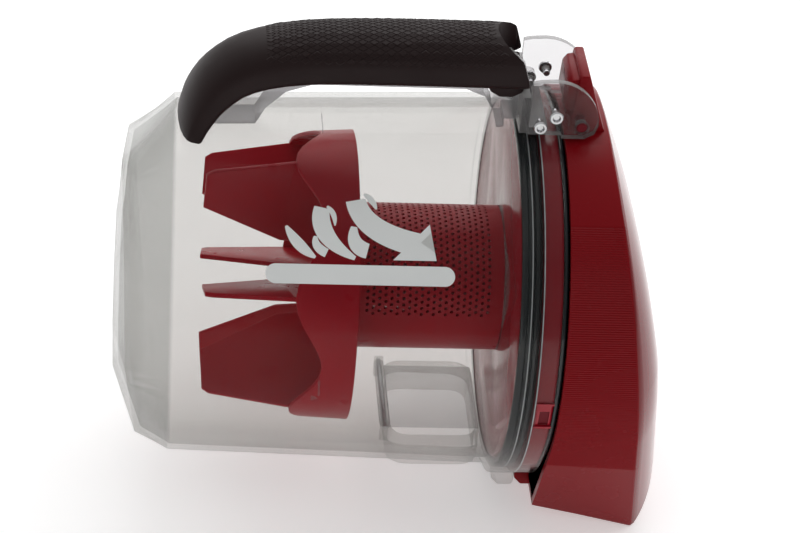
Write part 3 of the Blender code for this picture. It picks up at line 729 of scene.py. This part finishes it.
def makeLozenges():
    # small raised diamonds in staggered rows over the crown of the grip
    g = gripSizes
    grip = fromCad("grip_shell")
    bmesh.ops.translate(grip, verts=grip.verts, vec=(0, 0, -gripSink * mm))
    skin = BVHTree.FromBMesh(grip)
    bm = bmesh.new()
    count = int((g["x"][1] - g["x"][0]) / g["stepX"] * 2)
    for k in range(count + 1):
        x = g["x"][0] + k * g["stepX"] / 2
        degrees = g["fan"][0] + (g["stepAngle"] / 2 if k % 2 else 0)
        while degrees <= g["fan"][1]:
            out = Vector((0, -cos(radians(degrees)), sin(radians(degrees))))
            start = Vector((x, 0, g["spineZ"])) * mm + out * 60 * mm
            spot, normal, _, _ = skin.ray_cast(start, -out)
            if spot and Vector((x - g["scoop"][0], spot.y / mm)).length > g["scoop"][1] + g["scoopRim"]:
                pad = bmesh.ops.create_cone(bm, cap_ends=True, segments=4, radius1=g["lozenge"][0] * mm,
                                            radius2=g["lozenge"][1] * mm, depth=g["lozenge"][2] * mm)["verts"]
                bmesh.ops.scale(bm, verts=pad, vec=g["stretch"])
                side = Vector((1, 0, 0)).cross(normal).normalized()
                frameOf = Matrix((side.cross(normal), side, normal)).transposed()
                bmesh.ops.rotate(bm, verts=pad, cent=(0, 0, 0), matrix=frameOf)
                bmesh.ops.translate(bm, verts=pad, vec=spot)
            degrees += g["stepAngle"]
    grip.free()
    bmesh.ops.recalc_face_normals(bm, faces=bm.faces)
    addPiece("gripLozenges", bm, "root", finishes["softGrip"], (), 20)


pegSizes = {
    "spots": {"1": (179.5, 95), "2": (173.3, 90)}, "earY": 19.5,
    "head": [(-4.4, 0), (-4.4, 1.3), (0.4, 1.3), (0.4, 2.7), (1.1, 2.9), (1.7, 2.5), (1.7, 1.7),
             (0.6, 1.2), (0.6, 0)],
    "hinge": (190.6, 90),
    "pin": [(-19.8, 0), (-19.8, 1.7), (-19.4, 2.2), (19.4, 2.2), (19.8, 1.7), (19.8, 0)],
    "boss": [(19.4, 2.6), (20.0, 2.6), (20.2, 2.9), (20.0, 3.4), (19.4, 3.4)],
    "post": [(96, 0), (96, 3.5), (99, 3.4), (104, 3.2), (105.6, 2.7), (106, 1.9), (105, 1.3), (105, 0)],
    "postX": 168.6,
}


def turnedPeg(bm, profile, x, z, side=1, base=0.0, closed=False):
    # (y, radius) points turned about a line across the handle
    run = [bm.verts.new((r * mm, side * (y + base) * mm, 0)) for y, r in profile]
    edges = [bm.edges.new(pair) for pair in zip(run, run[1:])]
    if closed:
        edges.append(bm.edges.new((run[-1], run[0])))
    before = set(bm.verts) - set(run)
    bmesh.ops.spin(bm, geom=run + edges, cent=(0, 0, 0), axis=(0, 1, 0), angle=2 * pi, steps=28,
                   use_merge=True)
    fresh = [v for v in bm.verts if v not in before]
    bmesh.ops.translate(bm, verts=fresh, vec=(x * mm, 0, z * mm))


def makePegs():
    for label, side in (("near", -1), ("far", 1)):
        for number, (x, z) in pegSizes["spots"].items():
            bm = bmesh.new()
            turnedPeg(bm, pegSizes["head"], x, z, side, pegSizes["earY"])
            node = f"ear_screw_{label}_{number}"
            addPiece(f"earPeg_{label}_{number}", closedUp(bm), "root", finishes["brightSteel"],
                     (node,))
    bm = bmesh.new()
    turnedPeg(bm, pegSizes["pin"], *pegSizes["hinge"])
    addPiece("hingePin", closedUp(bm), "root", finishes["darkRedMoulding"], ("hinge_pin",))
    bm = bmesh.new()
    for side in (-1, 1):
        turnedPeg(bm, pegSizes["boss"], *pegSizes["hinge"], side, 0, True)
    bmesh.ops.recalc_face_normals(bm, faces=bm.faces)
    addPiece("hingeBosses", bm, "root", finishes["clearHandle"])
    bm = bmesh.new()
    run = [bm.verts.new((r * mm, 0, z * mm)) for z, r in pegSizes["post"]]
    edges = [bm.edges.new(pair) for pair in zip(run, run[1:])]
    bmesh.ops.spin(bm, geom=run + edges, cent=(0, 0, 0), axis=(0, 0, 1), angle=2 * pi, steps=32,
                   use_merge=True)
    closedUp(bm)
    bmesh.ops.translate(bm, verts=bm.verts, vec=(pegSizes["postX"] * mm, 0, 0))
    addPiece("handlePost", bm, "root", finishes["clearHandle"])


def makeHeel():
    # the grip's rounded lip, under its open end
    bm = bmesh.new()
    slab(bm, gripSizes["heel"], -gripSizes["heelHalf"], gripSizes["heelHalf"])
    bmesh.ops.recalc_face_normals(bm, faces=bm.faces)
    addPiece("gripHeel", softened(bm, 1.2 * mm, 25), "root", finishes["softGrip"])


makeScoop()
makeLozenges()
makeHeel()
makePegs()
print("handle details made")

for k in range(1, 5):
    screw = softened(fromCad(f"lid_screw_{k}"), 0.15 * mm, 20, 1)
    addPiece(f"lidScrew_{k}", screw, "lid", finishes["brightSteel"], (f"lid_screw_{k}",))
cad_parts["flap_pin"].data.materials.clear()
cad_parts["flap_pin"].data.materials.append(finishes["brightSteel"])

studio = {
    "camera": (19.2, -868, 617.2), "azimuth": -6.83, "elevation": 35.02, "roll": 5.19,
    "lens": 110.5, "sky": (0.3, 0.85), "floorGlow": 0.42,
    "lamps": [("backLamp", (0.1, 1.3, 1.3), 1.6, 12), ("sideLamp", (1.3, 0.6, 0.6), 0.8, 4)],
}


def makeStudio():
    data = bpy.data.cameras.new("camera")
    data.sensor_width, data.lens = 36, studio["lens"]
    camera = bpy.data.objects.new("camera", data)
    tilt = Matrix.Rotation(radians(90 - studio["elevation"]), 4, "X")
    roll = Matrix.Rotation(radians(studio["roll"]), 4, "Z")
    heading = Matrix.Rotation(radians(studio["azimuth"]), 4, "Z")
    place = Vector(studio["camera"]) * mm + Vector((endX, 0, axisZ))
    camera.matrix_world = Matrix.Translation(place) @ heading @ tilt @ roll
    bpy.context.scene.collection.objects.link(camera)
    bpy.context.scene.camera = camera
    world = bpy.data.worlds.new("studio")
    world.use_nodes = True
    tree = world.node_tree
    parts = tree.nodes.new("ShaderNodeSeparateXYZ")
    tree.links.new(tree.nodes.new("ShaderNodeTexCoord").outputs["Generated"], parts.inputs["Vector"])
    fade = tree.nodes.new("ShaderNodeMapRange")  # a bright wall behind the object, a dim room before it
    fade.inputs["From Min"].default_value, fade.inputs["From Max"].default_value = -0.7, 0.5
    fade.inputs["To Min"].default_value, fade.inputs["To Max"].default_value = studio["sky"]
    tree.links.new(parts.outputs["Y"], fade.inputs["Value"])
    tree.nodes["Background"].inputs["Color"].default_value = (1, 1, 1, 1)
    tree.links.new(fade.outputs["Result"], tree.nodes["Background"].inputs["Strength"])
    bpy.context.scene.world = world
    for name, place, size, power in studio["lamps"]:
        lamp = bpy.data.lights.new(name, "AREA")
        lamp.size, lamp.energy = size, power
        holder = bpy.data.objects.new(name, lamp)
        aim = Vector((0, 0, 0.1)) - Vector(place)
        holder.matrix_world = Matrix.Translation(place) @ aim.to_track_quat("-Z", "Y").to_matrix().to_4x4()
        bpy.context.scene.collection.objects.link(holder)
    bm = bmesh.new()
    bmesh.ops.create_grid(bm, x_segments=4, y_segments=4, size=6)
    mesh = bpy.data.meshes.new("floor")
    bm.to_mesh(mesh)
    bm.free()
    pale = moulded("paleFloor", (0.88, 0.88, 0.88), (0.9, 0.9, 0.9), (0.8, 0.9), 40, 0.02)
    glow = pale.node_tree.nodes["Principled BSDF"]  # a light table: the floor lights the object from below
    glow.inputs["Emission Color"].default_value = (1, 1, 1, 1)
    glow.inputs["Emission Strength"].default_value = studio["floorGlow"]
    mesh.materials.append(pale)
    floor = bpy.data.objects.new("floor", mesh)
    bpy.context.scene.collection.objects.link(floor)
    bpy.context.scene.view_settings.view_transform = "Standard"
    bpy.context.scene.cycles.transparent_max_bounces = 32


makeStudio()
print("studio set")
